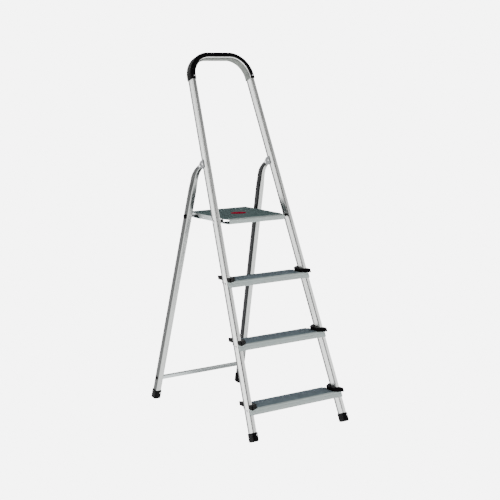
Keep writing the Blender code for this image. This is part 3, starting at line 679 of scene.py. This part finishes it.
# ---- sub-assemblies -------------------------------------------------------------
@dataclass
class FrontFrame(Assembly):
    """The bent stile tube and its grip."""

    plane: Incline = field(default_factory=Incline)
    top: float = 1.5277
    bend: float = 0.090
    grip_end: float = 1.4297
    skin: float = 0.0028
    gap: float = 0.0003
    foot_sole: float = 0.0035
    cover_ends: tuple[tuple[float, float], ...] = ((-1, -0.0076), (0.007, 1))
    liner_ends: tuple[tuple[float, float], ...] = ((0.011, 1), (-0.0125, -1))
    rear_shade: tuple[float, float, float] = (-0.0150, 0.0065, 0.97)
    inner_shade: tuple[float, float, float] = (-0.0014, 0.0010, 0.15)
    tube_finish: bpy.types.Material | None = None

    def path(self, start: float, steps: int = 40) -> Array:
        """Centre line of the tube in the slanted plane.

        Straight up one side, round an arc of the bend radius tangent to the
        side and to the top, straight across, and mirrored down the other side.

        Args:
            start: where the line begins, along the plane.
            steps: segments in each bend.

        Returns:
            Points (across, behind, along).
        """
        lean = math.atan(self.plane.taper)
        turn = math.pi / 2 - lean
        run = self.bend * math.tan(turn / 2)
        up = np.array((math.sin(lean), 0.0, math.cos(lean)))
        inward = np.array((math.cos(lean), 0.0, -math.sin(lean)))
        corner = np.array((-(self.plane.half - self.plane.taper * self.top), 0.0, self.top))
        centre = corner - up * run + inward * self.bend
        angle = np.linspace(0.0, turn, steps + 1)[:, None]
        bend = centre + self.bend * (up * np.sin(angle) - inward * np.cos(angle))
        begin = np.array((-(self.plane.half - self.plane.taper * start), 0.0, start))
        straight = begin + (bend[0] - begin) * np.linspace(0.0, 1.0, 24, endpoint=False)[:, None]
        side = np.vstack([straight, bend])
        return np.vstack([side, (side * (-1.0, 1.0, 1.0))[::-1]])

    def build(self) -> None:
        """Make the tube, the cover and the liner.

        The tube's shade grows from a line near its rear edge to full at that
        edge, and is light on the faces that look inwards below the grip.
        """
        plane = self.plane
        outer = divided(rounded_section(plane.depth / 2, plane.width / 2, plane.corner))
        inner = divided(rounded_section(plane.depth / 2 - plane.wall, plane.width / 2 - plane.wall,
                                        plane.corner - plane.wall))
        sin, cos = math.sin(plane.lean), math.cos(plane.lean)
        path = self.path((plane.depth / 2 * sin + self.foot_sole) / cos)
        rings = np.vstack([sweep(path, ALONG_Y, outer), sweep(path, ALONG_Y, inner)[::-1]])
        tube = Surface.closed("stile_tube", plane.world(rings))
        # Painted shade and painted dark reflection: a dark band along the tube's rear edge, and a light darkening
        # on its inward faces below the grip.
        centre = np.concatenate([path[:, 0], path[::-1, 0]])[:, None]
        inward = (centre - rings[..., 0]) * np.sign(centre) * (rings[..., 2] < self.grip_end)
        *span, most = self.rear_shade
        rear = ramp(rings[..., 1] - plane.depth / 2, *span) * most
        *span, most = self.inner_shade
        Surface.tone(tube, np.maximum(ramp(inward - plane.width / 2, *span) * most, rear))
        self.place(tube, Slot.ALUMINIUM, ["front_tube"], self.tube_finish)
        a, b = plane.depth / 2 - plane.corner, plane.width / 2 - plane.corner
        self.place(self.shell("hoop_cover", *self.cover_ends, [(-a, b, 180.0)]),
                   Slot.BLACK, ["grip_cover"])
        self.place(self.shell("hoop_liner", *self.liner_ends, [(a, b, 90.0), (a, -b, 0.0)]),
                   Slot.LINER, ["grip_liner"])

    def shell(self, name: str, start: tuple[float, float], end: tuple[float, float],
              corners: list[tuple[float, float, float]]) -> bpy.types.Object:
        """A strip of the grip.

        The section is two copies of the tube's outline, at the gap and at the
        gap plus the skin, joined by round ends and carried round the hoop; the
        first and last rings draw in so that the ends are rounded over.

        Args:
            name: object's name.
            start: first end; a 1 or -1 lies on that side of the tube.
            end: last end.
            corners: corner centres on the way, with the starting angle of each.

        Returns:
            The strip.
        """
        plane = self.plane

        def line(offset: float) -> Array:
            """The strip's outline at a distance from the tube."""
            def spot(p: tuple[float, float]) -> list[float]:
                """An end's place, where 1 or -1 stands for the tube's side."""
                return [p[0] * (plane.depth / 2 + offset) if abs(p[0]) == 1 else p[0],
                        p[1] * (plane.width / 2 + offset) if abs(p[1]) == 1 else p[1]]
            bends = [arc((ca, cb), plane.corner + offset, turn, turn - 90.0, 8)
                     for ca, cb, turn in corners]
            return np.vstack([[spot(start)], *bends, [spot(end)]])

        near, far = line(self.gap), line(self.gap + self.skin)
        path = self.path(self.grip_end)
        edge = np.minimum(np.arange(len(path)), np.arange(len(path))[::-1])
        swell = np.clip(0.35 + 0.65 * np.sqrt(np.clip(edge / 2.0, 0.0, 1.0)), 0.0, 1.0)
        upper = near + (far - near) * swell[:, None, None]
        outline = np.concatenate([np.broadcast_to(near, upper.shape), upper[:, ::-1]], 1)
        rings = sweep(path, ALONG_Y, outline)
        return Surface.capped(name, plane.world(rings))


@dataclass
class Treads(Assembly):
    """The three ribbed treads."""

    plane: Incline = field(default_factory=Incline)
    height: float = 0.022
    wall: float = 0.0022
    fascia: float = 0.003
    rear: float = 0.060
    pitch: float = 0.0055
    rib: float = 0.0009
    nose: float = 0.0020
    nose_at: float = 0.0022
    face_top: float = 0.0024
    groove_at: float = 0.0085
    groove: float = 0.0011
    groove_half: float = 0.0009
    flat_end: float = 0.0080
    ribs_from: float = 0.0088
    ribs_to: float = 0.0045
    rear_bend: float = 0.0020
    drop_from: float = 0.010
    clear: float = 0.0129
    relief: float = 0.0209
    relief_from: float = 0.0501
    gap: float = 0.0003

    def build(self) -> None:
        """Make each tread where its CAD node is."""
        for name in ("tread_1", "tread_2", "tread_3"):
            self.place(self.tread(name), Slot.TREAD, [name])

    def tread(self, name: str) -> bpy.types.Object:
        """One tread as a bent plate.

        The outside line climbs the fascia, which has a V groove, rounds the
        nose, crosses the ribs and rounds down the rear; the inside line stays
        one wall behind it. The width steps in behind the fascia for the
        stiles and again at the rear corners.

        Args:
            name: CAD node that it stands for.

        Returns:
            The tread.
        """
        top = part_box(name)[1].z
        slope, cos = math.tan(self.plane.lean), math.cos(self.plane.lean)
        front = -(self.plane.depth / 2 + 2 * self.gap + self.fascia) / cos
        climb = np.linspace(-self.height, -self.face_top, 40)
        off = np.abs(climb + self.groove_at) / self.groove_half
        notch = np.clip(1.0 - off, 0.0, 1.0) * self.groove
        face = np.column_stack([front + slope * climb + notch, climb])
        nose = arc((front + self.nose_at, -self.nose), self.nose, 168.0, 90.0, 8)
        deck = ribs(front + self.ribs_from, self.rear - self.ribs_to, self.pitch, self.rib)
        back = arc((self.rear - self.rear_bend, -self.rear_bend), self.rear_bend, 90.0, 0.0, 6)
        drop = np.array([(self.rear, -self.drop_from), (self.rear, -self.height)])
        outer = np.vstack([face, nose, [(front + self.flat_end, 0.0)], deck, back, drop])
        y, z = outer.T
        under = -self.wall - self.rib
        inner_y = np.clip(y, front + self.fascia / cos + slope * np.minimum(z, under),
                          self.rear - self.wall)
        upright = (y < front + self.fascia) | (y > self.rear - 0.0001)
        inner = np.column_stack([inner_y, np.where(upright, np.minimum(z, under), under)])
        step = int(np.argmax((y > front + self.fascia / cos + 0.0001) & (z > -0.0005)))
        outer, inner = doubled(outer, step), doubled(inner, step)
        far = int(np.argmax(outer[:, 0] > self.relief_from))
        outer, inner = doubled(outer, far), doubled(inner, far)
        centre = self.plane.x_at(top)
        half = np.full(len(outer), centre + self.plane.width / 2)
        half[step + 1:] = centre - self.clear
        half[far + 1:] = centre - self.relief
        offset = np.array((self.plane.floor_y + slope * top, top))
        return strip(name + "_extrusion", outer + offset, inner + offset, half)


@dataclass
class RearFrame(Assembly):
    """The bent legs behind."""

    body: Body = Body.REAR
    lean: float = math.radians(13.05)
    half: float = 0.2142
    spread: float = 0.7090
    width: float = 0.0245
    depth: float = 0.029
    corner: float = 0.005
    wall: float = 0.0015
    bend: float = 0.085
    turn: float = math.radians(46.0)
    crimp: tuple[float, float] = (0.0092, 0.0080)
    crimp_before: float = 0.055
    crimp_run: float = 0.060
    crimp_round: float = 0.0015
    dent: tuple[float, float] = (0.0035, 0.0012)
    end: float = 0.0075
    foot_sole: float = 0.0035
    inner_shade: tuple[float, float] = (-0.0026, 0.0010)
    outer_shade: tuple[float, float, float] = (-0.0012, 0.0010, 0.88)
    plane: Incline = field(default_factory=Incline)
    leg_finish: bpy.types.Material | None = None

    def build(self) -> None:
        """Make both legs."""
        for side, tag in ((-1.0, "left"), (1.0, "right")):
            self.place(self.leg(side, tag), Slot.ALUMINIUM, [f"rear_leg_{tag}"],
                       self.leg_finish)

    def leg(self, side: float, tag: str) -> bpy.types.Object:
        """One hollow leg.

        The centre line is straight, then an arc of the bend radius towards
        the stile, then straight past the fold axis. The section is a rounded
        rectangle that eases to the crimped one over the bend, with a groove
        pressed along its flat sides where it eases. The shade is full on the
        face that looks inwards and nearly so on the one that looks outwards.

        Args:
            side: -1 for left, 1 for right.
            tag: left or right.

        Returns:
            The leg.
        """
        _, hinge_y, hinge_z = joint("rear_fold")["pos_m"]
        cos, sin = math.cos(self.lean), math.sin(self.lean)
        behind = self.plane.floor_y + self.spread - hinge_y
        length, offset = behind * sin + hinge_z * cos, behind * cos - hinge_z * sin
        v = ((hinge_y - self.plane.floor_y) * math.sin(self.plane.lean)
             + hinge_z * math.cos(self.plane.lean))
        taper = (self.half - (self.plane.half - self.plane.taper * v)) / length
        straight = (offset - self.bend * (1 - math.cos(self.turn))) / math.sin(self.turn)
        start = -self.bend * math.sin(self.turn) - straight * math.cos(self.turn)
        low = (self.depth / 2 * sin + self.foot_sole) / cos
        up = np.concatenate([np.linspace(low - length, start - self.crimp_run, 20),
                             np.linspace(start - 0.056, start - 0.004, 16)])
        angle = np.linspace(0.0, self.turn, 30)
        reach = np.linspace(-0.8 * straight, self.end, 8)
        y = np.concatenate([np.full(len(up), offset), offset - self.bend * (1 - np.cos(angle)),
                            -reach * math.sin(self.turn)])
        z = np.concatenate([up, start + self.bend * np.sin(angle), reach * math.cos(self.turn)])
        path = np.column_stack([side * (self.half - taper * (z + length)), y, z])
        squeeze = smooth(ramp(z - start, -self.crimp_before, self.crimp_run))
        thin = smooth(ramp(z - start, 0.0, -start))
        half_w = self.width / 2 + (self.crimp[0] - self.width / 2) * squeeze
        half_d = self.depth / 2 + (self.crimp[1] - self.depth / 2) * thin

        spread, depth = self.dent

        def outlines(wall: float) -> Array:
            """The section at each point of the path, one wall thickness in."""
            corners = self.corner - self.crimp_round * squeeze - wall
            made = np.stack([rounded_section(w - wall, d - wall, c)
                             for w, d, c in zip(half_w, half_d, corners)])
            dent = np.exp(-(made[..., 1] / spread) ** 2) * (squeeze * (1 - squeeze) * 4)[:, None]
            made[..., 0] -= np.sign(made[..., 0]) * depth * dent
            return made

        rings = np.vstack([sweep(path, ALONG_X, outlines(0.0)),
                           sweep(path, ALONG_X, outlines(self.wall))[::-1]])
        x, w, s = np.moveaxis(rings, -1, 0)
        world = np.stack([x, hinge_y + w * cos - s * sin, hinge_z + w * sin + s * cos], -1)
        tube = Surface.closed(f"leg_tube_{tag}", world)
        # Painted shade and painted dark reflection: the faces that look inwards go near black and the faces that
        # look outwards nearly so.
        inward = (x - np.concatenate([path[:, 0], path[::-1, 0]])[:, None]) * -side
        edge = np.concatenate([half_w, half_w[::-1]])[:, None]
        *span, most = self.outer_shade
        outside = ramp(-inward - edge, *span) * most
        Surface.tone(tube, ramp(inward - edge, *self.inner_shade) + outside)
        return tube


@dataclass
class Platform(Assembly):
    """The ribbed deck."""

    body: Body = Body.PLATFORM
    wall: float = 0.0030
    half: float = 0.1408
    lip_half: float = 0.133
    pitch: float = 0.0075
    rib: float = 0.0009
    lip: float = 0.0065
    lip_depth: float = 0.012
    flat_end: float = 0.0115
    ribs_from: float = 0.0125
    ribs_to: float = 0.0045
    rear_bend: float = 0.002
    chamfer: tuple[float, float] = (0.006, 0.002)
    channel: tuple[float, float] = (0.0245, 0.084)

    def build(self) -> None:
        """Make the deck as a bent plate with boxed edges.

        The outside line runs under the front box, round the lip, over the
        ribs, round the rear and under the rear box; the inside line stays one
        wall behind it. The width follows the chamfered front corners.
        """
        low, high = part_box("platform_deck")
        _, pivot_y, _ = joint("platform_fold")["pos_m"]
        front, rear, top, bottom = low.y, high.y, high.z, low.z
        r, b = self.lip, self.rear_bend
        under = np.array([(pivot_y + self.channel[0], bottom), (front + self.lip_depth, bottom)])
        lower = arc((front + r, bottom + r), r, 270.0, 180.0, 10)
        upper = arc((front + r, top - r), r, 180.0, 90.0, 10)
        flat = [(front + self.flat_end, top)]
        deck = ribs(front + self.ribs_from, rear - self.ribs_to, self.pitch, self.rib)
        back = arc((rear - b, top - b), b, 90.0, 0.0, 5)
        base = arc((rear - b, bottom + b), b, 0.0, -90.0, 5)
        last = np.array([(rear - self.channel[1], bottom)])
        outer = np.vstack([under, lower, upper, flat, deck + (0.0, top), back, base, last])
        y, z = outer.T
        ceiling = top - self.rib - self.wall
        inner = np.column_stack([
            np.clip(y, front + self.wall, rear - self.wall),
            np.clip(np.where((y > front + 0.010) & (z > (top + bottom) / 2), ceiling, z),
                    bottom + self.wall, ceiling)])
        first, before = self.chamfer
        taper = ramp(y - front, first, pivot_y - before - front - first)
        half = self.lip_half + (self.half - self.lip_half) * taper
        self.place(strip("deck_extrusion", outer, inner, half), Slot.DECK, ["platform_deck"])


# ---- studio ---------------------------------------------------------------------
@dataclass(frozen=True)
class Softbox:
    """A rectangular lamp that faces a point."""

    name: str
    at: tuple[float, float, float]
    size: tuple[float, float]
    power: float
    aim: tuple[float, float, float] = (0.0, 0.0, 0.7)

    def add(self) -> None:
        """Put the lamp in the scene."""
        data = bpy.data.lights.new(self.name, "AREA")
        data.shape = "RECTANGLE"
        data.size, data.size_y = self.size
        data.energy = self.power
        lamp = bpy.data.objects.new(self.name, data)
        lamp.location = self.at
        lamp.rotation_mode = "QUATERNION"
        lamp.rotation_quaternion = (Vector(self.aim) - Vector(self.at)).to_track_quat("-Z", "Y")
        bpy.context.scene.collection.objects.link(lamp)


@dataclass
class Studio:
    """Pale seamless floor, soft light and the camera."""

    lens: float = 85.52
    eye: tuple[float, float, float] = (-2.7334, -3.4099, 1.4442)
    azimuth: float = 36.09
    pitch: float = 9.59
    roll: float = 0.50
    surround: float = 1.5
    fall: tuple[float, float] = (0.34, 0.62)
    flag: tuple[float, float] = (0.62, 0.90)
    flag_turn: float = 20.0
    shadow: float = 0.012
    glow: float = 2.6
    gobo: tuple[float, float] = (0.60, 0.90)
    paper: float = 6.5
    sheet_half: float = 40.0
    sheet_front: float = -30.0
    sheet_top: float = 30.0
    bend_at: float = 14.0
    bend_radius: float = 6.0
    below: float = 0.0006
    lamps: tuple[Softbox, ...] = (
        Softbox("key", (-2.4, -1.2, 3.4), (2.2, 2.2), 45.0),
        Softbox("fill", (2.8, -2.4, 1.2), (1.8, 2.4), 12.0),
        Softbox("top", (0.2, 1.4, 3.8), (2.6, 2.6), 35.0),
    )

    def floor(self) -> None:
        """Lay the floor and turn it up far behind, as one seamless sheet.

        The sheet's height is zero, then a quarter circle, then a straight
        rise; it is the same across its whole width.
        """
        bend = arc((self.bend_at, self.bend_radius), self.bend_radius, -90.0, 0.0, 32)
        line = np.vstack([[(self.sheet_front, 0.0), (0.0, 0.0)], bend,
                          [(self.bend_at + self.bend_radius, self.sheet_top)]])
        line[:, 1] -= self.below
        columns = 9
        across = np.linspace(-self.sheet_half, self.sheet_half, columns)
        grid = np.stack([np.broadcast_to(across, (len(line), columns)),
                         np.repeat(line[:, :1], columns, 1),
                         np.repeat(line[:, 1:], columns, 1)], -1)
        mesh = bpy.data.meshes.new("seamless")
        mesh.from_pydata(grid.reshape(-1, 3).tolist(), [],
                         Surface.quads(len(line), columns, False, False).tolist())
        mesh.shade_smooth()
        sheet = bpy.data.objects.new("seamless", mesh)
        mesh.transform(Matrix.Rotation(-math.radians(self.azimuth), 4, "Z"))
        bpy.context.scene.collection.objects.link(sheet)
        g = Graph("seamless")
        speck = g.noise(g.point, 3.0, 2.0)
        x, y = g.along(ALONG_X), g.along(ALONG_Y)
        a = math.radians(self.azimuth)
        behind = (x * math.sin(a) + y * math.cos(a)) / (x * x + y * y + 0.01).op("SQRT")
        glow = g.mix(behind.band(*self.gobo), PAPER_WHITE, (0.03, 0.03, 0.03))
        colour = g.mix(speck * 0.04, (0.93, 0.93, 0.93), (0.9, 0.9, 0.9))
        mesh.materials.append(g.finish(Base_Color=colour, Roughness=0.9, Emission_Color=glow,
                                       Emission_Strength=self.glow))
        self.whiten(g.material.node_tree, "Emission")
        sheet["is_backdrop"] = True

    def whiten(self, tree: bpy.types.NodeTree, kind: str) -> None:
        """Show plain bright paper to the camera and the real shader to everything else.

        Args:
            tree: nodes of the floor's material or of the world.
            kind: last part of the paper shader's type, Emission or Background.
        """
        end = next(n for n in tree.nodes if n.bl_idname.startswith("ShaderNodeOutput"))
        lit = end.inputs["Surface"].links[0].from_socket
        paper = tree.nodes.new("ShaderNode" + kind)
        paper.inputs["Color"].default_value = (*PAPER_WHITE, 1.0)
        paper.inputs["Strength"].default_value = self.paper
        seen = tree.nodes.new("ShaderNodeLightPath")
        blend = tree.nodes.new("ShaderNodeMixShader")
        tree.links.new(seen.outputs["Is Camera Ray"], blend.inputs["Fac"])
        tree.links.new(lit, blend.inputs[1])
        tree.links.new(paper.outputs[0], blend.inputs[2])
        tree.links.new(blend.outputs["Shader"], end.inputs["Surface"])

    def light(self) -> None:
        """Set the surround and the lamps."""
        world = bpy.data.worlds.new("studio")
        world.use_nodes = True
        g = Graph.of_world(world)
        overhead = g.along(ALONG_Z).band(*self.fall)
        a = math.radians(self.azimuth + self.flag_turn)
        flag = g.along(np.array((-math.sin(a), -math.cos(a), 0.1))).band(*self.flag)
        dark = 1.0 - (1.0 - overhead) * (1.0 - flag)
        g.finish(Color=g.mix(dark, PAPER_WHITE, (self.shadow,) * 3), Strength=self.surround)
        self.whiten(world.node_tree, "Background")
        bpy.context.scene.world = world
        for lamp in self.lamps:
            lamp.add()

    def camera(self) -> None:
        """Place the camera by its heading, dip, tilt and eye, from the stiles' floor line."""
        a, p, r = (math.radians(v) for v in (self.azimuth, self.pitch, self.roll))
        ahead = Vector((math.sin(a) * math.cos(p), math.cos(a) * math.cos(p), -math.sin(p)))
        right = Vector((math.cos(a), -math.sin(a), 0.0))
        up = right.cross(ahead)
        across = right * math.cos(r) + up * math.sin(r)
        above = up * math.cos(r) - right * math.sin(r)
        data = bpy.data.cameras.new("view")
        data.lens, data.sensor_width = self.lens, 36.0
        camera = bpy.data.objects.new("view", data)
        turn = Matrix((across, above, -ahead)).transposed().to_4x4()
        eye = Vector(self.eye) + Vector((0.0, Incline().floor_y, 0.0))
        camera.matrix_world = Matrix.Translation(eye) @ turn
        bpy.context.scene.collection.objects.link(camera)
        bpy.context.scene.camera = camera

    def build(self) -> None:
        """Set up the whole studio."""
        self.floor()
        self.light()
        self.camera()


def finishes() -> dict[Slot, Finish]:
    """Every slot's finish."""
    stile = (0.0, math.sin(Incline().lean), math.cos(Incline().lean))
    slope = math.tan(Incline().lean)
    return {
        Slot.ALUMINIUM: DrawnMetal("stile_satin", (0.64, 0.65, 0.635), stile, 0.24),
        Slot.TREAD: TwoToneAlloy("tread_alloy", (0.165, 0.205, 0.230), slope=slope,
                                 edge=Incline().floor_y - 0.0165),
        Slot.DECK: TwoToneAlloy("deck_alloy", (0.095, 0.135, 0.135), light=(0.29, 0.33, 0.32),
                                edge=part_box("platform_deck")[0].y + 0.0118),
        Slot.BARE: DrawnMetal("mill_metal", (0.36, 0.39, 0.39), (1.0, 0.0, 0.0), 0.36),
        Slot.STEEL: PlatedSteel("plated_steel", (0.62, 0.62, 0.63)),
        Slot.BLACK: MouldedPlastic("black_moulding", (0.0022, 0.0022, 0.0025), 0.36, shine=0.03),
        Slot.BRACKET: PlatedSteel("bracket_coat", (0.16, 0.165, 0.17), 0.40),
        Slot.LINER: MouldedPlastic("grey_moulding", (0.13, 0.14, 0.13), 0.45),
        Slot.WHITE: PlatedSteel("bright_rivet", (0.92, 0.92, 0.92), 0.35),
        Slot.RED: MouldedPlastic("red_badge", (0.24, 0.004, 0.024), 0.5, 0.00003, shine=0.0),
    }


def note_size(sizes: dict[str, list[list[float]]], when: str) -> None:
    """Keep the object's box under a name."""
    sizes[when] = [list(corner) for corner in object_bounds()]


def main() -> None:
    """Build every sub-assembly, dress it and set up the studio."""
    logging.basicConfig(level=logging.INFO, format="%(name)s %(message)s")
    sizes: dict[str, list[list[float]]] = {}
    note_size(sizes, "loaded")
    looks = finishes()
    lean = RearFrame().lean
    # Painted shade: the legs' aluminium is a darker copy of the stiles' finish, and the shade attribute paints
    # darker faces on it.
    leg = DrawnMetal("leg_satin", (0.34, 0.35, 0.34), (0.0, -math.sin(lean), math.cos(lean)),
                     shade=SHADE).material()
    # Painted shade: a copy of the stiles' finish that darkens wherever the tube's shade attribute is set.
    tube = replace(looks[Slot.ALUMINIUM], name="tube_satin", shade=SHADE).material()
    materials = {slot: finish.material() for slot, finish in looks.items()}
    for group in (FrontFrame(finishes=materials, tube_finish=tube), Treads(finishes=materials),
                  RearFrame(finishes=materials, leg_finish=leg), Platform(finishes=materials)):
        group.build()
        group.dress()
    Studio().build()
    note_size(sizes, "finished")


if __name__ == "__main__":
    main()
